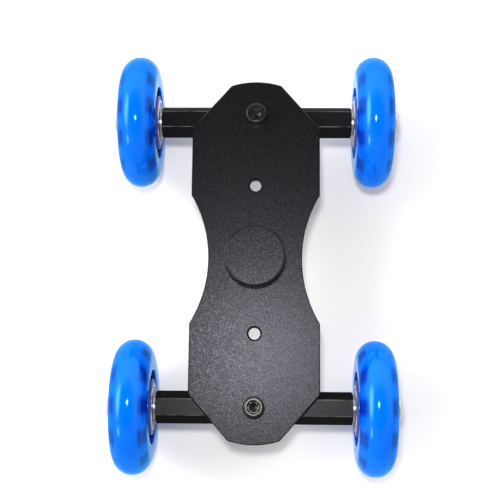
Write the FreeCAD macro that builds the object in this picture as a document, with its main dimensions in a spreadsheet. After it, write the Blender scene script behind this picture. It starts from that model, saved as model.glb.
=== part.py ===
import FreeCAD, Part
import math
import os

import Sketcher

# A four-wheeled tabletop camera dolly. X runs along the axles, Y is the way it rolls, Z is up.
# The origin is on the floor, under the middle of the deck. Millimetres and degrees.

Vector = FreeCAD.Vector
Z_AXIS = Vector(0, 0, 1)
HALF_TURN = 180
FULL_TURN = 360
NEAR = 1e-4  # lengths closer than this are equal

SIZES = {
    # wheels: where they stand, and the tyre's round crown
    "wheel_radius": 32.0,
    "wheel_track": 114.0,
    "wheelbase": 139.5,
    "tyre_width": 17.6,
    "crown_radius": 9.0,
    "tyre_inner_radius": 17.5,
    "tyre_skin": 0.8,
    # wheel core: outer rim, web, bearing housing, and a crown of lugs near each side
    "rim_outer_radius": 20.5,
    "rim_corner": 0.6,
    "web_thickness": 5.0,
    "housing_radius": 13.2,
    "housing_recess": 0.3,
    "bearing_shoulder_radius": 9.5,
    "lug_count": 12,
    "lug_top_radius": 24.4,
    "lug_root_radius": 20.0,
    "lug_length": 6.0,
    "lug_depth": 3.8,
    # ball bearings, 8 x 22 x 7
    "bearing_bore": 8.0,
    "bearing_outside": 22.0,
    "bearing_width": 7.0,
    "bearing_gap": 5.0,
    "ball_count": 7,
    "ball_pitch_radius": 7.5,
    "ball_radius": 1.984,
    "ball_clearance": 0.046,
    "inner_land_radius": 6.05,
    "outer_land_radius": 9.0,
    "race_edge": 0.3,
    "shield_inner_radius": 6.4,
    "shield_outer_radius": 9.7,
    "shield_thickness": 0.3,
    "shield_recess": 0.3,
    "cage_inner_radius": 6.9,
    "cage_outer_radius": 8.1,
    "cage_back": 0.6,
    "cage_front": 0.8,
    "cage_clearance": 0.08,
    # spacer tube, washer and bolt of each wheel
    "spacer_radius": 5.4,
    "spacer_bore": 8.1,
    "axle_washer_radius": 6.0,
    "axle_washer_thickness": 1.0,
    "axle_bolt_diameter": 7.94,
    "axle_bolt_head_radius": 6.0,
    "axle_bolt_head_height": 3.4,
    "axle_bolt_head_rim": 1.2,
    "axle_bolt_head_flat": 3.6,
    "axle_bolt_engagement": 20.0,
    "axle_bolt_socket": 5.0,
    "axle_bolt_socket_depth": 2.6,
    "bolt_tip_chamfer": 0.8,
    # hexagonal axle bars
    "bar_across_flats": 13.5,
    "bar_edge_radius": 0.4,
    "bar_end_chamfer": 0.9,
    "axle_tap_diameter": 8.0,
    "axle_tap_depth": 23.0,
    "drill_point": 2.4,
    # pivot of each bar: cap screw through the deck, and the friction washer under the deck
    "pivot_bolt_diameter": 6.0,
    "pivot_bolt_length": 16.0,
    "pivot_head_radius": 5.0,
    "pivot_head_height": 6.0,
    "pivot_head_rounding": 1.1,
    "pivot_socket": 5.0,
    "pivot_socket_depth": 3.0,
    "pivot_socket_mouth": 3.3,
    "pivot_socket_drill": 2.3,
    "pivot_socket_drill_point": 0.9,
    "pivot_tap_diameter": 6.06,
    "pivot_bore": 6.1,
    "pivot_washer_radius": 7.0,
    "pivot_washer_thickness": 0.75,
    # deck plate
    "deck_thickness": 4.0,
    "deck_half_width": 30.75,
    "deck_shoulder": 63.9,
    "deck_end_half_width": 12.1,
    "deck_end_corner": 85.2,
    "deck_end_bulge": 1.9,
    "waist_half_length": 30.85,
    "waist_depth": 8.5,
    "deck_edge_bevel": 0.5,
    "deck_corner_radius": 2.0,
    "accessory_hole_diameter": 5.5,
    "accessory_hole_place": 35.5,
    "accessory_hole_bevel": 0.85,
    # captive camera screw: knob above the deck, 1/4 in stud below it
    "knob_radius": 14.4,
    "knob_height": 10.2,
    "knob_rounding": 0.9,
    "knob_foot_bevel": 0.4,
    "knob_hole_depth": 6.0,
    "stud_diameter": 6.35,
    "stud_length": 6.0,
    "stud_chamfer": 0.7,
    "stud_shoulder_gap": 0.3,
    "stud_shank_diameter": 5.2,
    "stud_bore": 5.3,
}

doc = FreeCAD.newDocument("camera_dolly")
sheet = doc.addObject("Spreadsheet::Sheet", "Sizes")
for row, (alias, value) in enumerate(SIZES.items(), 1):
    sheet.set(f"A{row}", alias)
    sheet.set(f"B{row}", str(value))
    sheet.setAlias(f"B{row}", alias)
doc.recompute()


class Size:
    """A number together with the expression that gives it from the sheet."""

    def __init__(self, value, text):
        self.value = value
        self.text = text

    def __add__(self, other):
        other = as_size(other)
        return Size(self.value + other.value, f"({self.text} + {other.text})")

    def __sub__(self, other):
        other = as_size(other)
        return Size(self.value - other.value, f"({self.text} - {other.text})")

    def __mul__(self, other):
        other = as_size(other)
        return Size(self.value * other.value, f"({self.text} * {other.text})")

    def __truediv__(self, other):
        other = as_size(other)
        return Size(self.value / other.value, f"({self.text} / {other.text})")

    def __neg__(self):
        return Size(-self.value, f"(-{self.text})")

    def root(self):
        return Size(math.sqrt(self.value), f"sqrt({self.text})")


def as_size(number):
    return number if isinstance(number, Size) else Size(float(number), str(float(number)))


def size(alias):
    return Size(float(sheet.get(alias)), f"Sizes.{alias}")


def bind(item, **lengths):
    for name, length in lengths.items():
        setattr(item, name, as_size(length).value)
        item.setExpression(name, as_size(length).text)


def place(item, x=0.0, y=0.0, z=0.0, turn=0):
    """Puts the item at x, y, z, turned about Z."""
    spot = [as_size(length) for length in (x, y, z)]
    base = Vector(*(length.value for length in spot))
    item.Placement = FreeCAD.Placement(base, FreeCAD.Rotation(Z_AXIS, turn))
    for axis, length in zip("xyz", spot):
        item.setExpression(f"Placement.Base.{axis}", length.text)


# ---- derived lengths that several pieces share ----

pivot_y = size("wheelbase") / 2
wheel_x = size("wheel_track") / 2
half_gap = size("bearing_gap") / 2
bearing_face = half_gap + size("bearing_width")
bearing_middle = half_gap + size("bearing_width") / 2
bar_half_length = wheel_x - bearing_face - size("axle_washer_thickness")
bar_top = size("wheel_radius") + size("bar_across_flats") / 2
deck_bottom = bar_top + size("pivot_washer_thickness")
deck_top = deck_bottom + size("deck_thickness")
tyre_half_width = size("tyre_width") / 2
rim_half_width = tyre_half_width - size("tyre_skin")
groove_radius = size("ball_radius") + size("ball_clearance")


# ---- helpers for sketches and features ----

def new_body(name):
    body = doc.addObject("PartDesign::Body", name)
    body.AllowCompound = True
    return body


def new_sketch(body, role, lift=None):
    """A sketch on one of the body's origin planes, lifted along the plane's normal."""
    sketch = body.newObject("Sketcher::SketchObject", f"{body.Name}_sketch")
    plane = next(item for item in body.Origin.OriginFeatures if item.Role == role)
    sketch.AttachmentSupport = [(plane, "")]
    sketch.MapMode = "FlatFace"
    if lift is not None:
        sketch.AttachmentOffset = FreeCAD.Placement(Vector(0, 0, lift.value), FreeCAD.Rotation())
        sketch.setExpression("AttachmentOffset.Base.z", lift.text)
    return sketch


def constrain(sketch, kind, where, length):
    """Adds a dimension that follows the sheet."""
    number = sketch.addConstraint(Sketcher.Constraint(kind, *where, length.value))
    sketch.setExpression(f"Constraints[{number}]", length.text)


def pin_point(sketch, edge, end, x, y):
    """Fixes one end of an edge at x, y, measured from the sketch's origin."""
    origin = (-1, 1)
    for kind, axis, length in (("DistanceX", -2, as_size(x)), ("DistanceY", -1, as_size(y))):
        if length.value == 0:
            sketch.addConstraint(Sketcher.Constraint("PointOnObject", edge, end, axis))
        elif length.value > 0:
            constrain(sketch, kind, (*origin, edge, end), length)
        else:
            constrain(sketch, kind, (edge, end, *origin), -length)


def bend(start, end, radius):
    """An arc from start to end: its centre is left of the travel if radius is positive, else right."""
    chord = end - start
    rise = math.sqrt(radius**2 - (chord.Length / 2) ** 2)
    left = Vector(-chord.y, chord.x, 0).normalize()
    centre = (start + end) * 0.5 + left * math.copysign(rise, radius)
    ends = (start, end) if radius > 0 else (end, start)
    angles = [math.atan2(point.y - centre.y, point.x - centre.x) for point in ends]
    circle = Part.Circle(centre, Z_AXIS, abs(radius))
    return Part.ArcOfCircle(circle, angles[0], angles[1]), ((1, 2) if radius > 0 else (2, 1))


def draw_loop(sketch, corners):
    """Draws a closed loop. A corner is (x, y), or (x, y, radius) where an arc leads to the next one."""
    corners = [tuple(as_size(length) for length in corner) for corner in corners]
    points = [Vector(corner[0].value, corner[1].value, 0) for corner in corners]
    edges = []
    for corner, start, end in zip(corners, points, points[1:] + points[:1]):
        if len(corner) == 2:
            number = sketch.addGeometry(Part.LineSegment(start, end), False)
            edges.append((number, 1, 2))
        else:
            arc, (first, last) = bend(start, end, corner[2].value)
            number = sketch.addGeometry(arc, False)
            edges.append((number, first, last))
    for (number, first, last), (following, start, _) in zip(edges, edges[1:] + edges[:1]):
        sketch.addConstraint(Sketcher.Constraint("Coincident", number, last, following, start))
    for corner, (number, first, last) in zip(corners, edges):
        pin_point(sketch, number, first, corner[0], corner[1])
        if len(corner) == 3:
            radius = corner[2] if corner[2].value > 0 else -corner[2]
            constrain(sketch, "Radius", (number,), radius)


def draw_circle(sketch, x, y, radius):
    centre = Vector(as_size(x).value, as_size(y).value, 0)
    number = sketch.addGeometry(Part.Circle(centre, Z_AXIS, radius.value), False)
    pin_point(sketch, number, 3, x, y)
    constrain(sketch, "Radius", (number,), radius)


def draw_hexagon(sketch, across_flats):
    """A hexagon about the sketch's origin, with two corners on its X axis."""
    corner = across_flats / as_size(3).root()
    draw_loop(sketch, [
        (corner, 0),
        (corner / 2, across_flats / 2),
        (-corner / 2, across_flats / 2),
        (-corner, 0),
        (-corner / 2, -across_flats / 2),
        (corner / 2, -across_flats / 2),
    ])


def turned(body, kind, loops, axis):
    """Turns loops about X (drawn on XY) or about Z (drawn on XZ), as a Revolution or a Groove."""
    sketch = new_sketch(body, {"X": "XY_Plane", "Z": "XZ_Plane"}[axis])
    for loop in loops:
        draw_loop(sketch, loop)
    feature = body.newObject(f"PartDesign::{kind}", f"{body.Name}_{kind.lower()}")
    feature.Profile = sketch
    feature.ReferenceAxis = (sketch, [{"X": "H_Axis", "Z": "V_Axis"}[axis]])
    feature.Angle = FULL_TURN
    doc.recompute()
    return feature


def cut_through(body, sketch, depth=None):
    """Cuts the sketch through everything, both ways, or to a depth against its normal."""
    pocket = body.newObject("PartDesign::Pocket", f"{body.Name}_pocket")
    pocket.Profile = sketch
    if depth is None:
        pocket.Type = "ThroughAll"
        pocket.SideType = "Symmetric"
    else:
        bind(pocket, Length=depth)
    doc.recompute()
    return pocket


def edge_names(shape, wanted):
    return [f"Edge{number}" for number, edge in enumerate(shape.Edges, 1) if wanted(edge)]


def soften(body, kind, wanted, **lengths):
    """Adds a Chamfer or Fillet on the edges that wanted() picks."""
    base = body.Tip
    feature = body.newObject(f"PartDesign::{kind}", f"{body.Name}_{kind.lower()}")
    feature.Base = (base, edge_names(base.Shape, wanted))
    bind(feature, **lengths)
    doc.recompute()
    return feature


def flat_at(edge, height):
    """True for an edge that lies at this height all along."""
    return abs(edge.BoundBox.ZMin - height) < NEAR and abs(edge.BoundBox.ZMax - height) < NEAR


def circular(edge, radius):
    return isinstance(edge.Curve, Part.Circle) and abs(edge.Curve.Radius - radius) < NEAR


# ---- deck plate ----

def build_deck():
    body = new_body("deck_plate")
    wide, shoulder = size("deck_half_width"), size("deck_shoulder")
    end_x, end_y = size("deck_end_half_width"), size("deck_end_corner")
    waist_y = size("waist_half_length")
    bulge, depth = size("deck_end_bulge"), size("waist_depth")
    end_radius = (end_x * end_x + bulge * bulge) / (bulge * 2)
    waist_radius = (waist_y * waist_y + depth * depth) / (depth * 2)
    sketch = new_sketch(body, "XY_Plane")
    draw_loop(sketch, [
        (wide, -shoulder),
        (wide, -waist_y, -waist_radius),
        (wide, waist_y),
        (wide, shoulder),
        (end_x, end_y, end_radius),
        (-end_x, end_y),
        (-wide, shoulder),
        (-wide, waist_y, -waist_radius),
        (-wide, -waist_y),
        (-wide, -shoulder),
        (-end_x, -end_y, end_radius),
        (end_x, -end_y),
    ])
    pad = body.newObject("PartDesign::Pad", "deck_pad")
    pad.Profile = sketch
    bind(pad, Length=size("deck_thickness"))
    doc.recompute()

    past_shoulder = shoulder.value + NEAR
    soften(body, "Fillet",
           lambda edge: edge.BoundBox.ZLength > NEAR and abs(edge.BoundBox.Center.y) > past_shoulder,
           Radius=size("deck_corner_radius"))
    thickness = size("deck_thickness").value
    soften(body, "Chamfer",
           lambda edge: flat_at(edge, 0) or flat_at(edge, thickness),
           Size=size("deck_edge_bevel"))

    holes = new_sketch(body, "XY_Plane")
    draw_circle(holes, 0, 0, size("stud_bore") / 2)
    for end in (-1, 1):
        draw_circle(holes, 0, pivot_y * end, size("pivot_bore") / 2)
        draw_circle(holes, 0, size("accessory_hole_place") * end, size("accessory_hole_diameter") / 2)
    cut_through(body, holes)
    hole_radius = size("accessory_hole_diameter").value / 2
    soften(body, "Chamfer", lambda edge: circular(edge, hole_radius),
           Size=size("accessory_hole_bevel"))
    place(body, z=deck_bottom)
    return body


# ---- captive camera screw ----

def build_knob():
    body = new_body("camera_knob")
    radius, height = size("knob_radius"), size("knob_height")
    rounding, foot = size("knob_rounding"), size("knob_foot_bevel")
    shank, hole = size("stud_shank_diameter") / 2, size("knob_hole_depth")
    turned(body, "Revolution", [[
        (shank, 0),
        (radius - foot, 0),
        (radius, foot),
        (radius, height - rounding, rounding),
        (radius - rounding, height),
        (0, height),
        (0, hole),
        (shank, hole),
    ]], "Z")
    place(body, z=deck_top)
    return body


def build_stud():
    """Its origin is at the deck's lower face. The stretch inside the deck is thinner than the thread."""
    body = new_body("camera_stud")
    radius, shank = size("stud_diameter") / 2, size("stud_shank_diameter") / 2
    chamfer, length = size("stud_chamfer"), size("stud_length")
    shoulder = size("stud_shoulder_gap")
    turned(body, "Revolution", [[
        (0, -length),
        (radius - chamfer, -length),
        (radius, chamfer - length),
        (radius, -shoulder),
        (shank, -shoulder),
        (shank, size("deck_thickness") + size("knob_hole_depth")),
        (0, size("deck_thickness") + size("knob_hole_depth")),
    ]], "Z")
    place(body, z=deck_bottom)
    return body


# ---- axle bars and their pivots ----

def build_bar(name, y):
    body = new_body(name)
    sketch = new_sketch(body, "YZ_Plane")
    draw_hexagon(sketch, size("bar_across_flats"))
    pad = body.newObject("PartDesign::Pad", f"{name}_pad")
    pad.Profile = sketch
    pad.SideType = "Symmetric"
    bind(pad, Length=bar_half_length * 2)
    doc.recompute()
    soften(body, "Fillet", lambda edge: edge.BoundBox.XLength > NEAR, Radius=size("bar_edge_radius"))

    tap, depth = size("axle_tap_diameter") / 2, size("axle_tap_depth")
    corner = size("bar_across_flats") / as_size(3).root()
    inscribed = size("bar_across_flats") / 2
    chamfer = size("bar_end_chamfer")
    loops = []
    for side in (1, -1):
        end = bar_half_length * side
        bottom = (bar_half_length - depth) * side
        loops.append([(end, 0), (end, tap), (bottom, tap), (bottom - size("drill_point") * side, 0)])
        loops.append([
            (end, inscribed),
            (end, corner + chamfer),
            (end - chamfer * side, corner + chamfer),
        ])
    turned(body, "Groove", loops, "X")

    cross = new_sketch(body, "XY_Plane")
    draw_circle(cross, 0, 0, size("pivot_tap_diameter") / 2)
    cut_through(body, cross)
    place(body, y=y, z=size("wheel_radius"))
    return body


def build_pivot_bolt(name, y):
    """A cap screw, its origin under the head. The socket has a bevelled mouth and a drilled floor."""
    body = new_body(name)
    head, height = size("pivot_head_radius"), size("pivot_head_height")
    rounding, tip = size("pivot_head_rounding"), size("bolt_tip_chamfer")
    shank, length = size("pivot_bolt_diameter") / 2, size("pivot_bolt_length")
    turned(body, "Revolution", [[
        (0, -length),
        (shank - tip, -length),
        (shank, tip - length),
        (shank, 0),
        (head, 0),
        (head, height - rounding, rounding),
        (head - rounding, height),
        (0, height),
    ]], "Z")
    socket = new_sketch(body, "XY_Plane", lift=height)
    draw_hexagon(socket, size("pivot_socket"))
    cut_through(body, socket, size("pivot_socket_depth"))
    mouth, floor = size("pivot_socket_mouth"), height - size("pivot_socket_depth")
    turned(body, "Groove", [
        [(0, height - mouth), (mouth, height), (0, height)],
        [(0, floor - size("pivot_socket_drill_point")), (size("pivot_socket_drill"), floor), (0, floor)],
    ], "Z")
    place(body, y=y, z=deck_top)
    return body


def build_pivot_washer(name, y):
    outside = doc.addObject("Part::Cylinder", f"{name}_outside")
    bind(outside, Radius=size("pivot_washer_radius"), Height=size("pivot_washer_thickness"))
    hole = doc.addObject("Part::Cylinder", f"{name}_hole")
    bind(hole, Radius=size("pivot_tap_diameter") / 2, Height=size("pivot_washer_thickness"))
    washer = doc.addObject("Part::Cut", name)
    washer.Base = outside
    washer.Tool = hole
    place(washer, y=y, z=bar_top)
    return washer


# ---- one wheel, drawn about its own centre with its outer side towards +X ----

def build_hub():
    body = new_body("wheel_core_pattern")
    rim_in, rim_out = size("tyre_inner_radius"), size("rim_outer_radius")
    web, housing = size("web_thickness") / 2, size("housing_radius")
    face = bearing_face - size("housing_recess")
    seat, shoulder = size("bearing_outside") / 2, size("bearing_shoulder_radius")
    corner = size("rim_corner")
    half = [
        (half_gap, shoulder),
        (half_gap, seat),
        (face, seat),
        (face, housing - corner),
        (face - corner, housing),
        (web, housing),
        (web, rim_in),
        (rim_half_width, rim_in),
        (rim_half_width, rim_out),
    ]
    turned(body, "Revolution", [half + [(-x, y) for x, y in reversed(half)]], "X")

    lug = new_sketch(body, "XY_Plane", lift=size("lug_root_radius"))
    half_length = size("lug_length") / 2
    inner = rim_half_width - size("lug_depth")
    for side in (1, -1):
        corners = [(inner * side, -half_length), (rim_half_width * side, -half_length)]
        corners += [(rim_half_width * side, half_length), (inner * side, half_length)]
        draw_loop(lug, corners if side > 0 else corners[::-1])
    pad = body.newObject("PartDesign::Pad", "lug_pad")
    pad.Profile = lug
    bind(pad, Length=size("lug_top_radius") - size("lug_root_radius"))
    doc.recompute()
    ring = body.newObject("PartDesign::PolarPattern", "lug_ring")
    ring.Originals = [pad]
    ring.Axis = (next(item for item in body.Origin.OriginFeatures if item.Role == "X_Axis"), [""])
    ring.Angle = FULL_TURN
    ring.Occurrences = int(size("lug_count").value)
    ring.setExpression("Occurrences", size("lug_count").text)
    body.Tip = ring
    doc.recompute()
    return body


def build_tyre(hub):
    """A round crown over flat sides, cast around the core, so the core is cut out of it."""
    blank = new_body("tyre_blank")
    crown = size("crown_radius")
    crown_centre = size("wheel_radius") - crown
    side_radius = crown_centre + (crown * crown - tyre_half_width * tyre_half_width).root()
    turned(blank, "Revolution", [[
        (-tyre_half_width, size("tyre_inner_radius")),
        (tyre_half_width, size("tyre_inner_radius")),
        (tyre_half_width, side_radius, crown),
        (0, size("wheel_radius"), crown),
        (-tyre_half_width, side_radius),
    ]], "X")
    tyre = doc.addObject("Part::Cut", "tyre_pattern")
    tyre.Base = blank
    tyre.Tool = hub
    doc.recompute()
    return tyre


def mirrored_pair(item):
    """The item and its mirror image about the wheel's middle plane, as one group of two."""
    other = doc.addObject("Part::Mirroring", f"{item.Name}_mirrored")
    other.Source = item
    other.Normal = Vector(1, 0, 0)
    pair = doc.addObject("Part::Compound", f"{item.Name}_pair")
    pair.Links = [item, other]
    return pair


def race(name, loop):
    """A bearing race turned from a loop, less the groove that the balls run in."""
    body = new_body(name)
    turned(body, "Revolution", [loop], "X")
    groove = doc.addObject("Part::Torus", f"{name}_groove")
    bind(groove, Radius1=size("ball_pitch_radius"), Radius2=groove_radius)
    groove.Placement = FreeCAD.Placement(
        Vector(bearing_middle.value, 0, 0), FreeCAD.Rotation(Vector(0, 1, 0), HALF_TURN / 2))
    groove.setExpression("Placement.Base.x", bearing_middle.text)
    cut = doc.addObject("Part::Cut", f"{name}_ground")
    cut.Base = body
    cut.Tool = groove
    return mirrored_pair(cut)


def build_inner_races():
    bore, land = size("bearing_bore") / 2, size("inner_land_radius")
    edge = size("race_edge")
    return race("inner_race", [
        (half_gap, bore),
        (bearing_face, bore),
        (bearing_face, land - edge),
        (bearing_face - edge, land),
        (half_gap + edge, land),
        (half_gap, land - edge),
    ])


def build_outer_races():
    outside, land = size("bearing_outside") / 2, size("outer_land_radius")
    seat = size("shield_outer_radius")
    step = size("shield_recess") + size("shield_thickness")
    edge = size("race_edge")
    return race("outer_race", [
        (half_gap, seat),
        (half_gap + step, seat),
        (half_gap + step, land),
        (bearing_face - step, land),
        (bearing_face - step, seat),
        (bearing_face, seat),
        (bearing_face, outside - edge),
        (bearing_face - edge, outside),
        (half_gap + edge, outside),
        (half_gap, outside - edge),
    ])


def build_shields():
    body = new_body("shield")
    inner, outer = size("shield_inner_radius"), size("shield_outer_radius")
    near = half_gap + size("shield_recess")
    far = bearing_face - size("shield_recess")
    thickness = size("shield_thickness")
    loops = [
        [(low, inner), (high, inner), (high, outer), (low, outer)]
        for low, high in ((near, near + thickness), (far - thickness, far))
    ]
    turned(body, "Revolution", loops, "X")
    return mirrored_pair(body)


def ball_ring(name, radius):
    """Spheres evenly round the bearing, the first one straight above the axis."""
    count = int(size("ball_count").value)
    spheres = []
    for number in range(count):
        angle = math.radians(FULL_TURN * number / count)
        sphere = doc.addObject("Part::Sphere", f"{name}_{number + 1}")
        bind(sphere, Radius=radius)
        place(sphere, bearing_middle, size("ball_pitch_radius") * math.sin(angle),
              size("ball_pitch_radius") * math.cos(angle))
        spheres.append(sphere)
    ring = doc.addObject("Part::Compound", f"{name}s")
    ring.Links = spheres
    return ring


def build_balls():
    return mirrored_pair(ball_ring("ball", size("ball_radius")))


def build_cages():
    """A snap-in crown cage: a ring behind the balls, with pockets open to the other side."""
    body = new_body("cage_ring")
    inner, outer = size("cage_inner_radius"), size("cage_outer_radius")
    pocket = size("ball_radius") + size("cage_clearance")
    back = bearing_middle + pocket + size("cage_back")
    front = bearing_middle - size("cage_front")
    turned(body, "Revolution", [[(front, inner), (back, inner), (back, outer), (front, outer)]], "X")
    pockets = ball_ring("pocket", pocket)
    cage = doc.addObject("Part::Cut", "cage")
    cage.Base = body
    cage.Tool = pockets
    return mirrored_pair(cage)


def build_spacer():
    body = new_body("spacer_pattern")
    bore, outside = size("spacer_bore") / 2, size("spacer_radius")
    turned(body, "Revolution", [[
        (-half_gap, bore), (half_gap, bore), (half_gap, outside), (-half_gap, outside),
    ]], "X")
    return body


def build_axle_washer():
    body = new_body("axle_washer_pattern")
    bore, outside = size("spacer_bore") / 2, size("axle_washer_radius")
    near = -bearing_face
    far = near - size("axle_washer_thickness")
    turned(body, "Revolution", [[(far, bore), (near, bore), (near, outside), (far, outside)]], "X")
    return body


def build_axle_bolt():
    """A skate axle: smooth shank, thin domed head with a hex socket, screwed into the bar's end."""
    body = new_body("axle_bolt_pattern")
    shank, head = size("axle_bolt_diameter") / 2, size("axle_bolt_head_radius")
    top = bearing_face + size("axle_bolt_head_height")
    rim = bearing_face + size("axle_bolt_head_rim")
    flat, tip = size("axle_bolt_head_flat"), size("bolt_tip_chamfer")
    end = -bearing_face - size("axle_washer_thickness") - size("axle_bolt_engagement")
    rise = top - rim
    reach = head - flat
    dome = (reach * reach + rise * rise) / (rise * 2)
    turned(body, "Revolution", [[
        (end, 0),
        (top, 0),
        (top, flat, dome),
        (rim, head),
        (bearing_face, head),
        (bearing_face, shank),
        (end + tip, shank),
        (end, shank - tip),
    ]], "X")
    socket = new_sketch(body, "YZ_Plane", lift=top)
    draw_hexagon(socket, size("axle_bolt_socket"))
    cut_through(body, socket, size("axle_bolt_socket_depth"))
    return body


# ---- assembly ----

WHEEL_PIECES = {
    "hub": build_hub(),
    "outer_races": build_outer_races(),
    "inner_races": build_inner_races(),
    "balls": build_balls(),
    "cages": build_cages(),
    "shields": build_shields(),
    "spacer": build_spacer(),
    "axle_washer": build_axle_washer(),
    "axle_bolt": build_axle_bolt(),
}
WHEEL_PIECES["tyre"] = build_tyre(WHEEL_PIECES["hub"])

nodes = [build_deck(), build_knob(), build_stud()]
for end, way in (("front", 1), ("rear", -1)):
    axle_y = pivot_y * way
    nodes.append(build_bar(f"{end}_axle_bar", axle_y))
    nodes.append(build_pivot_bolt(f"{end}_pivot_bolt", axle_y))
    nodes.append(build_pivot_washer(f"{end}_pivot_washer", axle_y))
    for side, sign, turn in (("left", -1, HALF_TURN), ("right", 1, 0)):
        for piece, pattern in WHEEL_PIECES.items():
            copy = doc.addObject("Part::Compound", f"{end}_{side}_{piece}")
            copy.Links = [pattern]
            place(copy, wheel_x * sign, axle_y, size("wheel_radius"), turn)
            nodes.append(copy)
doc.recompute()


# ---- checks, then one file per sub-part ----

for item in doc.Objects:
    if {"Invalid", "Error"} & set(item.State):
        raise RuntimeError(f"{item.Name} failed: {item.State}")
for node in nodes:
    if node.Shape.isNull() or not node.Shape.isValid() or not node.Shape.Solids:
        raise RuntimeError(f"{node.Label} has no valid solid")

os.makedirs("parts", exist_ok=True)
for node in nodes:
    node.Shape.exportStep(f"parts/{node.Label}.step")
    print(f"{node.Label}: {len(node.Shape.Solids)} solids, {node.Shape.Volume:.1f} mm3")
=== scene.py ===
"""The looks of a four-wheeled tabletop camera dolly: finishes, tyres, threads, floor, light and camera."""
from math import acos, cos, degrees, pi, radians, sin

import bpy
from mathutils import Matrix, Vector


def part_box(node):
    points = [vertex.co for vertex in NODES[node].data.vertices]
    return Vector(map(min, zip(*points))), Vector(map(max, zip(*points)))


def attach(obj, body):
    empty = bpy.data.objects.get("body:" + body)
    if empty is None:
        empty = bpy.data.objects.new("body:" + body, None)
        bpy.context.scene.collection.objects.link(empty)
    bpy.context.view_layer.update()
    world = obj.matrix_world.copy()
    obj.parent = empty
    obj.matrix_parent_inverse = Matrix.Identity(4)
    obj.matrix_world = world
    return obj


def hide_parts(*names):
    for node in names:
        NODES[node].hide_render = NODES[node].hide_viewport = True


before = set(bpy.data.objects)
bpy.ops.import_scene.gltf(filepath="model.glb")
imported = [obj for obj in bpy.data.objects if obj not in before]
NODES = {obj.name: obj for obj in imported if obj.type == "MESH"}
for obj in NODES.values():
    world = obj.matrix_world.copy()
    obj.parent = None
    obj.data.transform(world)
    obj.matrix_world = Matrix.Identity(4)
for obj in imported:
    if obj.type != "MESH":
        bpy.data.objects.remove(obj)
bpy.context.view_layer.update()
WHEELS = ("front_left", "front_right", "rear_left", "rear_right")
AXLES = ("front", "rear")
MM = 0.001

BAR_SIDES = 6

# The core's lugs: how many, and where they start, out from the wheel's middle plane and from its axle.
LUGS = 12
LUG_INNER = 4.2 * MM
LUG_ROOT = 20.0 * MM


# ---------------------------------------------------------------- materials

class Nodes:
    """Short ways to add nodes to a tree and to join them."""

    def __init__(self, tree):
        self.tree = tree

    def feed(self, node, sockets):
        """Sets or links sockets. A key is a socket's name with _ for a space, or its number after in_."""
        for key, value in sockets.items():
            if key.startswith("in_"):
                socket = node.inputs[int(key[3:])]
            else:
                socket = node.inputs[key.replace("_", " ")]
            if isinstance(value, bpy.types.NodeSocket):
                self.tree.links.new(value, socket)
            else:
                socket.default_value = value

    def node(self, kind, settings=None, **sockets):
        made = self.tree.nodes.new("ShaderNode" + kind)
        for key, value in (settings or {}).items():
            setattr(made, key, value)
        self.feed(made, sockets)
        return made

    def between(self, value, low, high, to_low=0.0, to_high=1.0):
        """Value taken from low..high to to_low..to_high, easing in and out."""
        made = self.node("MapRange", {"interpolation_type": "SMOOTHSTEP"}, Value=value, From_Min=low,
                         From_Max=high, To_Min=to_low, To_Max=to_high)
        return made.outputs["Result"]

    def over_noise(self, noise, low, high):
        """A value from low to high over the range that a noise mostly keeps to."""
        return self.between(noise, 0.2, 0.8, low, high)

    def calc(self, operation, first, second=0.0):
        return self.node("Math", {"operation": operation}, in_0=first, in_1=second).outputs[0]

    def vector(self, operation, **sockets):
        return self.node("VectorMath", {"operation": operation}, **sockets).outputs["Vector"]


class Finish(Nodes):
    """A Principled material and the nodes that feed it."""

    def __init__(self, name, **sockets):
        self.material = bpy.data.materials.new(name)
        self.material.use_nodes = True
        super().__init__(self.material.node_tree)
        self.shader = self.tree.nodes["Principled BSDF"]
        self.feed(self.shader, sockets)

    def place(self):
        """The point in the object's own frame, in metres."""
        return self.node("TexCoord").outputs["Object"]

    def stretched(self, scale):
        """The point with each axis multiplied, to draw grain out along one axis."""
        return self.node("Mapping", Vector=self.place(), Scale=scale).outputs["Vector"]

    def noise(self, per_metre, detail=2.0, roughness=0.5, point=None):
        """A smooth noise with about per_metre humps to the metre."""
        made = self.node("TexNoise", Vector=point or self.place(), Scale=per_metre, Detail=detail,
                         Roughness=roughness)
        return made.outputs["Fac"]

    def cells(self, per_metre):
        """A random colour in each small cell."""
        return self.node("TexVoronoi", Vector=self.place(), Scale=per_metre).outputs["Color"]

    def blend(self, share, first, second):
        """First where share is 0, second where it is 1. Both are colours."""
        made = self.node("Mix", {"data_type": "RGBA"}, Factor=share)
        self.feed(made, {"in_6": first, "in_7": second})
        return made.outputs[2]

    def bump(self, height, depth, strength=1.0, normal=None):
        """A bump whose height of 1 stands for depth in metres."""
        made = self.node("Bump", Height=height, Distance=depth, Strength=strength)
        if normal is not None:
            self.feed(made, {"Normal": normal})
        return made.outputs["Normal"]


def rgb(red, green, blue):
    return (red, green, blue, 1.0)


# How far the coat's uneven skin leans the normal, and between which heights of the normal's tip (1 is level)
# the rim's painted highlight and its polish fade in and out again.
COAT_LEAN = 0.13
RIM_STARTS = (0.60, 0.75)
RIM_ENDS = (0.97, 0.995)
RIM_POLISH = 0.20


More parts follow.
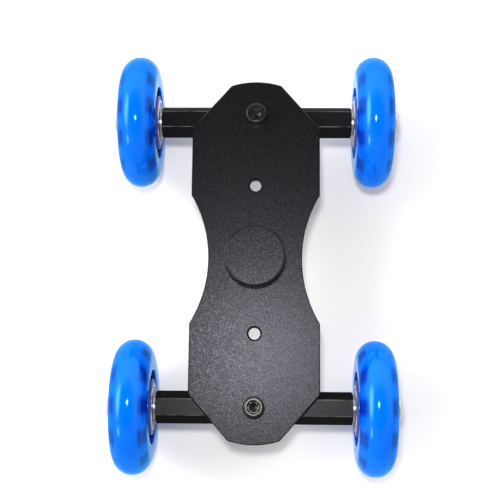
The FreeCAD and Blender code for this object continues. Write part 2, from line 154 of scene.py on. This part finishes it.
def powder_coat(name, highlight_and_polish=0.0):
    """Black powder coat: a fine uneven skin that breaks up the gloss, with small bright metal flakes in it.

    The second argument, at 1, gives the upper part of the rounded rim, between a level top and an upright
    side, a painted highlight (a lighter colour) and polish (a lower roughness).
    """
    finish = Finish(name, Metallic=0.75)
    flake = finish.node("SeparateColor", Color=finish.cells(2600.0))
    share = finish.between(flake.outputs["Red"], 0.5, 1.0)
    skin = finish.node("TexNoise", Vector=finish.place(), Scale=1300.0, Detail=2.0)
    tilt = finish.vector("SUBTRACT", in_0=skin.outputs["Color"], in_1=(0.5, 0.5, 0.5))
    lean = finish.vector("SCALE", in_0=tilt, Scale=COAT_LEAN)
    straight = finish.node("NewGeometry").outputs["Normal"]
    normal = finish.vector("NORMALIZE", in_0=finish.vector("ADD", in_0=straight, in_1=lean))
    facing = finish.node("TexCoord").outputs["Normal"]
    upright = finish.node("SeparateXYZ", Vector=facing).outputs["Z"]
    above_side = finish.between(upright, *RIM_STARTS)
    below_top = finish.between(upright, *RIM_ENDS, highlight_and_polish, 0.0)
    rim_highlight_and_polish = finish.calc("MULTIPLY", above_side, below_top)
    coat = finish.blend(share, rgb(0.0133, 0.0132, 0.0151), rgb(0.0235, 0.0231, 0.0278))
    rough = finish.over_noise(skin.outputs["Fac"], 0.335, 0.28)
    finish.feed(finish.shader, {
        # The rim's lighter base colour is a painted highlight; the lower roughness on the next line is
        # polish.
        "Base Color": finish.blend(rim_highlight_and_polish, coat, rgb(0.022, 0.022, 0.024)),
        "Roughness": finish.calc("SUBTRACT", rough, finish.calc("MULTIPLY", rim_highlight_and_polish, RIM_POLISH)),
        "Specular IOR Level": 0.10,
        "Normal": normal,
    })
    return finish.material


def bar_black(axle_y, axle_z):
    """Black bar stock under a thin satin coat, with faint lines along it and a painted highlight along its
    corners, broken up in patches.

    The axle's Y counts for both bars, since they lie equally far from the middle of the deck.
    """
    finish = Finish("black_bar_coat", Metallic=0.6, Specular_Tint=rgb(0.05, 0.05, 0.05))
    lines = finish.noise(260.0, 3.0, 0.6, finish.stretched((0.08, 6.0, 6.0)))
    skin = finish.noise(900.0, 2.0)
    split = finish.node("SeparateXYZ", Vector=finish.place())
    across = finish.calc("SUBTRACT", finish.calc("ABSOLUTE", split.outputs["Y"]), axle_y)
    turn = finish.calc("ARCTAN2", finish.calc("SUBTRACT", split.outputs["Z"], axle_z), across)
    corner = finish.between(finish.calc("COSINE", finish.calc("MULTIPLY", turn, BAR_SIDES)), 0.975, 1.0)
    # Painted highlight: light grey along the bar's corners, in patches, stands in for the light its creases
    # catch.
    crease_highlight = finish.calc("MULTIPLY", corner, finish.between(finish.noise(140.0, 3.0), 0.3, 0.6))
    coat = finish.blend(skin, rgb(0.0115, 0.0114, 0.0120), rgb(0.0197, 0.0195, 0.0208))
    finish.feed(finish.shader, {
        "Base Color": finish.blend(crease_highlight, coat, rgb(0.12, 0.12, 0.12)),
        "Roughness": finish.over_noise(lines, 0.27, 0.37),
        "Specular IOR Level": 0.01,
        "Normal": finish.bump(lines, 0.00002, 0.4, finish.bump(skin, 0.000012, 0.6)),
    })
    return finish.material


def metal(name, colour, roughness, wear=0.3, relief=0.5):
    """Turned or plated metal, with a fine grain and dull patches."""
    finish = Finish(name, Metallic=1.0)
    grain = finish.noise(900.0, 4.0, 0.6)
    patches = finish.noise(180.0, 3.0)
    dull = rgb(*(part * (1.0 - wear) for part in colour))
    finish.feed(finish.shader, {
        "Base Color": finish.blend(finish.between(patches, 0.35, 0.75), rgb(*colour), dull),
        "Roughness": finish.over_noise(grain, roughness * 0.8, roughness * 1.3),
        "Normal": finish.bump(grain, 0.000008, relief),
    })
    return finish.material


def black_oxide():
    """Blackened steel of the cap screws, a little uneven."""
    finish = Finish("black_oxide", Metallic=0.85)
    grain = finish.noise(1400.0, 3.0)
    finish.feed(finish.shader, {
        "Base Color": finish.blend(grain, rgb(0.015, 0.015, 0.0145), rgb(0.036, 0.036, 0.034)),
        "Roughness": finish.over_noise(grain, 0.22, 0.33),
        "Normal": finish.bump(grain, 0.00001, 0.5),
    })
    return finish.material


def moulded(name, colour, roughness):
    """Moulded plastic with a fine matt grain."""
    finish = Finish(name)
    grain = finish.noise(1200.0, 2.0)
    cloud = finish.noise(60.0, 2.0)
    darker = rgb(*(part * 0.82 for part in colour))
    finish.feed(finish.shader, {
        "Base Color": finish.blend(cloud, rgb(*colour), darker),
        "Roughness": finish.over_noise(grain, roughness * 0.85, roughness * 1.15),
        "Normal": finish.bump(grain, 0.000015, 0.5),
    })
    return finish.material


def urethane():
    """Clear-cast blue urethane, a little cloudy, with a glossy skin.

    The colour is darker where the core's lugs lie under it, as they show through a cloudy tyre.
    """
    finish = Finish("blue_urethane", IOR=1.5, Specular_IOR_Level=0.6, Transmission_Weight=0.25,
                    Coat_Weight=1.0, Coat_Roughness=0.1, Coat_IOR=1.05, Coat_Tint=rgb(0.25, 0.80, 1.0))
    split = finish.node("SeparateXYZ", Vector=finish.place())
    across, along, up = (split.outputs[axis] for axis in "XYZ")
    turn = finish.calc("ARCTAN2", along, up)
    wave = finish.calc("COSINE", finish.calc("MULTIPLY", turn, LUGS))
    squares = finish.calc("ADD", finish.calc("POWER", along, 2.0), finish.calc("POWER", up, 2.0))
    out = finish.calc("SQRT", squares)
    round_lug = finish.between(wave, -0.95, 0.75, 0.22, 1.0)
    beside = finish.between(finish.calc("ABSOLUTE", across), LUG_INNER + 0.3 * MM, LUG_INNER + 2.0 * MM)
    above_root = finish.between(out, LUG_ROOT - MM, LUG_ROOT + MM)
    patch = finish.calc("MULTIPLY", finish.calc("MULTIPLY", round_lug, beside), above_root)
    cloud = finish.noise(45.0, 3.0)
    scuff = finish.noise(500.0, 4.0, 0.65)
    clear = finish.blend(cloud, rgb(0.0, 0.195, 1.0), rgb(0.0, 0.235, 1.0))
    finish.feed(finish.shader, {
        "Base Color": finish.blend(patch, clear, rgb(0.006, 0.038, 0.40)),
        "Roughness": finish.between(scuff, 0.3, 0.8, 0.08, 0.14),
        "Normal": finish.bump(finish.noise(160.0, 2.0), 0.00003, 0.3),
    })
    return finish.material


# ---------------------------------------------------------------- meshes

def arc(centre, radius, start, end, steps):
    """Points of an arc in the (across, out) plane, angles in degrees from the across axis."""
    turns = (radians(start + (end - start) * step / steps) for step in range(steps + 1))
    return [(centre[0] + radius * cos(turn), centre[1] + radius * sin(turn)) for turn in turns]


SMOOTH_BELOW = radians(28)


def mesh_piece(name, points, faces, material, body, place=(0, 0, 0)):
    """A visual piece from points and faces, smooth except at its sharp edges, which rides on a body."""
    mesh = bpy.data.meshes.new(name)
    mesh.from_pydata(points, [], faces)
    mesh.validate()
    mesh.materials.append(material)
    piece = bpy.data.objects.new(name, mesh)
    piece.location = place
    bpy.context.scene.collection.objects.link(piece)
    mesh.polygons.foreach_set("use_smooth", [True] * len(mesh.polygons))
    mesh.set_sharp_from_angle(angle=SMOOTH_BELOW)
    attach(piece, body)
    return piece


def turned_ring(profile, segments):
    """A closed profile of (across, out) points, turned round the X axis."""
    points = []
    for step in range(segments):
        turn = 2 * pi * step / segments
        for across, out in profile:
            points.append((across, out * sin(turn), out * cos(turn)))
    count = len(profile)
    faces = []
    for step in range(segments):
        ahead = (step + 1) % segments
        for index in range(count):
            after = (index + 1) % count
            faces.append((step * count + index, ahead * count + index, ahead * count + after,
                          step * count + after))
    return points, faces


# The crown, lip round and cover are lengths across; the lip and seat are radii from the axle.
TYRE_CROWN = 9.0 * MM
TYRE_LIP = 17.5 * MM
TYRE_SEAT = 19.0 * MM
TYRE_COVER = 0.9 * MM
TYRE_LIP_ROUND = 0.35 * MM
TYRE_SEGMENTS = 224
CROWN_STEPS = 56
LIP_STEPS = 5


def tyre_profile(radius, half):
    """Round crown, flat sides, a rounded lip, and a seat hidden inside the core's rim."""
    crown_centre = radius - TYRE_CROWN
    edge = degrees(acos(half / TYRE_CROWN))
    inside = half - TYRE_COVER
    lip = TYRE_LIP_ROUND
    profile = arc((0, crown_centre), TYRE_CROWN, edge, 180 - edge, CROWN_STEPS)
    profile += arc((lip - half, TYRE_LIP + lip), lip, 180, 270, LIP_STEPS)
    profile += [(-inside, TYRE_LIP), (-inside, TYRE_SEAT), (inside, TYRE_SEAT), (inside, TYRE_LIP)]
    profile += arc((half - lip, TYRE_LIP + lip), lip, -90, 0, LIP_STEPS)
    return profile


def make_tyres(material):
    for wheel in WHEELS:
        node = wheel + "_tyre"
        low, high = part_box(node)
        centre = (low + high) / 2
        profile = tyre_profile(min(high.y - low.y, high.z - low.z) / 2, (high.x - low.x) / 2)
        points, faces = turned_ring(profile, TYRE_SEGMENTS)
        piece = mesh_piece(wheel + "_urethane", points, faces, material, wheel + "_wheel",
                           centre)
        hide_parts(node)


def turned_solid(rings, segments):
    """A solid about Z, from rings of (radius at an angle, height), low to high, closed at both ends."""
    points = []
    for radius, height in rings:
        for step in range(segments):
            turn = 2 * pi * step / segments
            points.append((radius(turn) * cos(turn), radius(turn) * sin(turn), height))
    foot, tip = len(points), len(points) + 1
    points += [(0, 0, rings[0][1]), (0, 0, rings[-1][1])]
    last = (len(rings) - 1) * segments
    faces = []
    for step in range(segments):
        ahead = (step + 1) % segments
        faces.append((foot, ahead, step))
        faces.append((tip, last + step, last + ahead))
        for row in range(0, last, segments):
            faces.append((row + step, row + ahead, row + segments + ahead, row + segments + step))
    return points, faces


# A 1/4-20 thread, with its flank's shape and the number of rings to each pitch.
THREAD_PITCH = 25.4 / 20 * MM
THREAD_DEPTH = 0.61 * THREAD_PITCH
FLANK_SLOPE = 2.6
FLANK_CREST = 0.15
THREAD_ROWS = 16
THREAD_SEGMENTS = 96
THREAD_TIP = 0.7 * MM
STUD_SHANK = 2.6 * MM
STUD_GAP = 0.3 * MM
STEP_UP = 0.01 * MM


def thread_rings(major, low, high, shank):
    """A quarter-inch thread from low to high, with a bevelled tip below and a smooth shank above."""
    def at(height):
        bevel = major - THREAD_TIP + (height - low)

        def radius(turn):
            phase = (height / THREAD_PITCH - turn / (2 * pi)) % 1.0
            flank = min(1.0, max(0.0, abs(phase - 0.5) * FLANK_SLOPE - FLANK_CREST))
            return min(major - THREAD_DEPTH * flank, bevel)
        return radius, height

    rows = round((high - low) / THREAD_PITCH * THREAD_ROWS)
    rings = [at(low + (high - low) * row / rows) for row in range(rows + 1)]
    return rings + [(lambda turn: shank, high + STEP_UP)]


def make_stud(material):
    """The captive camera screw, whose threaded end stands out of the deck's lower face."""
    low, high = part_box("camera_stud")
    deck_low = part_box("deck_plate")[0]
    major = (high.x - low.x) / 2
    rings = thread_rings(major, low.z, deck_low.z - STUD_GAP, STUD_SHANK)
    rings.append((lambda turn: STUD_SHANK, high.z))
    points, faces = turned_solid(rings, THREAD_SEGMENTS)
    piece = mesh_piece("camera_stud_thread", points, faces, material, "camera_screw")
    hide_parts("camera_stud")


# ---------------------------------------------------------------- stage

FLOOR_HALF = 20.0


def make_floor():
    half = FLOOR_HALF
    points = [(-half, -half, 0), (half, -half, 0), (half, half, 0), (-half, half, 0)]
    mesh = bpy.data.meshes.new("floor")
    mesh.from_pydata(points, [], [(0, 1, 2, 3)])
    finish = Finish("white_sweep", Base_Color=rgb(0.93, 0.92, 0.90), Roughness=0.75, Specular_IOR_Level=0.2)
    mesh.materials.append(finish.material)
    floor = bpy.data.objects.new("floor", mesh)
    bpy.context.scene.collection.objects.link(floor)


TALL_WINDOW = {"centre": (-0.77, 0.17, 0.60), "spread": (0.32, 0.58, 0.30)}
SMALL_WINDOW = {"centre": (-0.70, -0.57, 0.45), "spread": (0.18, 0.18, 0.18)}
WINDOW_STRENGTH = 9.0


def window(nodes, direction, centre, spread):
    """A soft bright patch of sky. Its middle and half-widths are given along the direction's X, Y and Z."""
    offset = nodes.vector("SUBTRACT", in_0=direction, in_1=centre)
    across = nodes.vector("DIVIDE", in_0=offset, in_1=spread)
    away = nodes.node("VectorMath", {"operation": "LENGTH"}, in_0=across)
    return nodes.between(away.outputs["Value"], 0.3, 1.0, WINDOW_STRENGTH, 0.0)


def make_world():
    """A white tent, brighter behind the object and dim overhead, with two soft windows on its left."""
    world = bpy.data.worlds.new("studio")
    world.use_nodes = True
    nodes = Nodes(world.node_tree)
    direction = nodes.node("TexCoord").outputs["Generated"]
    split = nodes.node("SeparateXYZ", Vector=direction)
    height = nodes.between(split.outputs["Z"], 0.55, 0.92, 1.45, 0.04)
    side = nodes.between(split.outputs["Y"], -1.0, 1.0, 0.50, 1.5)
    tent = nodes.calc("MULTIPLY", height, side)
    tall = window(nodes, direction, **TALL_WINDOW)
    small = window(nodes, direction, **SMALL_WINDOW)
    light = nodes.calc("ADD", tent, nodes.calc("ADD", tall, small))
    background = world.node_tree.nodes["Background"]
    nodes.feed(background, {"Color": rgb(1.0, 0.99, 0.97), "Strength": light})
    bpy.context.scene.world = world


# Places and sizes in metres, power in watts.
KEY_PLACE = Vector((-0.008, -0.010, 0.62))
KEY_TARGET = Vector((0.0, 0.0, 0.03))
KEY_SIZE = 0.06
KEY_POWER = 1.75


def make_light():
    """A small round lamp over the deck, whose soft reflection is the deck's bright patch."""
    data = bpy.data.lights.new("key", "AREA")
    data.shape = "DISK"
    data.size = KEY_SIZE
    data.energy = KEY_POWER
    lamp = bpy.data.objects.new("key", data)
    bpy.context.scene.collection.objects.link(lamp)
    lamp.location = KEY_PLACE
    lamp.rotation_euler = (KEY_TARGET - KEY_PLACE).to_track_quat("-Z", "Y").to_euler()


# The photo's viewpoint: metres, radians and, for the lens and sensor, millimetres.
CAMERA_PLACE = (0.0105, -0.0770, 0.5400)
CAMERA_TURN = (0.1621, 0.0244, 0.0098)
CAMERA_LENS = 76.37
CAMERA_SENSOR = 36.0


def make_camera():
    data = bpy.data.cameras.new("camera")
    data.sensor_width = CAMERA_SENSOR
    data.lens = CAMERA_LENS
    camera = bpy.data.objects.new("camera", data)
    bpy.context.scene.collection.objects.link(camera)
    camera.location = CAMERA_PLACE
    camera.rotation_euler = CAMERA_TURN
    bpy.context.scene.camera = camera


# ---------------------------------------------------------------- dressing

def dress(material, *names):
    for name in names:
        node = NODES[name]
        node.data.materials.clear()
        node.data.materials.append(material)


def each_wheel(piece):
    return [wheel + "_" + piece for wheel in WHEELS]


def each_axle(piece):
    return [axle + "_" + piece for axle in AXLES]


dress(powder_coat("sparkle_powder_coat"), "deck_plate")
# The knob's coat has a painted highlight and polish on its rounded rim.
dress(powder_coat("rim_highlight_powder_coat", highlight_and_polish=1.0), "camera_knob")
bar_low, bar_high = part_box("front_axle_bar")
bar_middle = (bar_low + bar_high) / 2
dress(bar_black(bar_middle.y, bar_middle.z), *each_axle("axle_bar"))
dress(black_oxide(), *each_axle("pivot_bolt"))
make_stud(metal("stud_steel", (0.55, 0.55, 0.56), 0.3))
dress(moulded("washer_nylon", (0.70, 0.68, 0.62), 0.5), *each_axle("pivot_washer"))
dress(moulded("hub_plastic", (0.008, 0.035, 0.30), 0.4), *each_wheel("hub"))
bearing = metal("bearing_steel", (0.50, 0.50, 0.51), 0.18)
dress(bearing, *each_wheel("outer_races"), *each_wheel("inner_races"), *each_wheel("balls"))
dress(metal("shield_steel", (0.26, 0.26, 0.26), 0.30), *each_wheel("shields"))
dress(moulded("cage_nylon", (0.55, 0.50, 0.38), 0.5), *each_wheel("cages"))
dress(metal("spacer_aluminium", (0.72, 0.73, 0.74), 0.35), *each_wheel("spacer"))
zinc = metal("zinc_steel", (0.48, 0.48, 0.49), 0.32, wear=0.15, relief=0.15)
dress(zinc, *each_wheel("axle_washer"), *each_wheel("axle_bolt"))

make_tyres(urethane())
make_floor()
make_world()
make_light()
make_camera()
bpy.context.scene.view_settings.view_transform = "Standard"
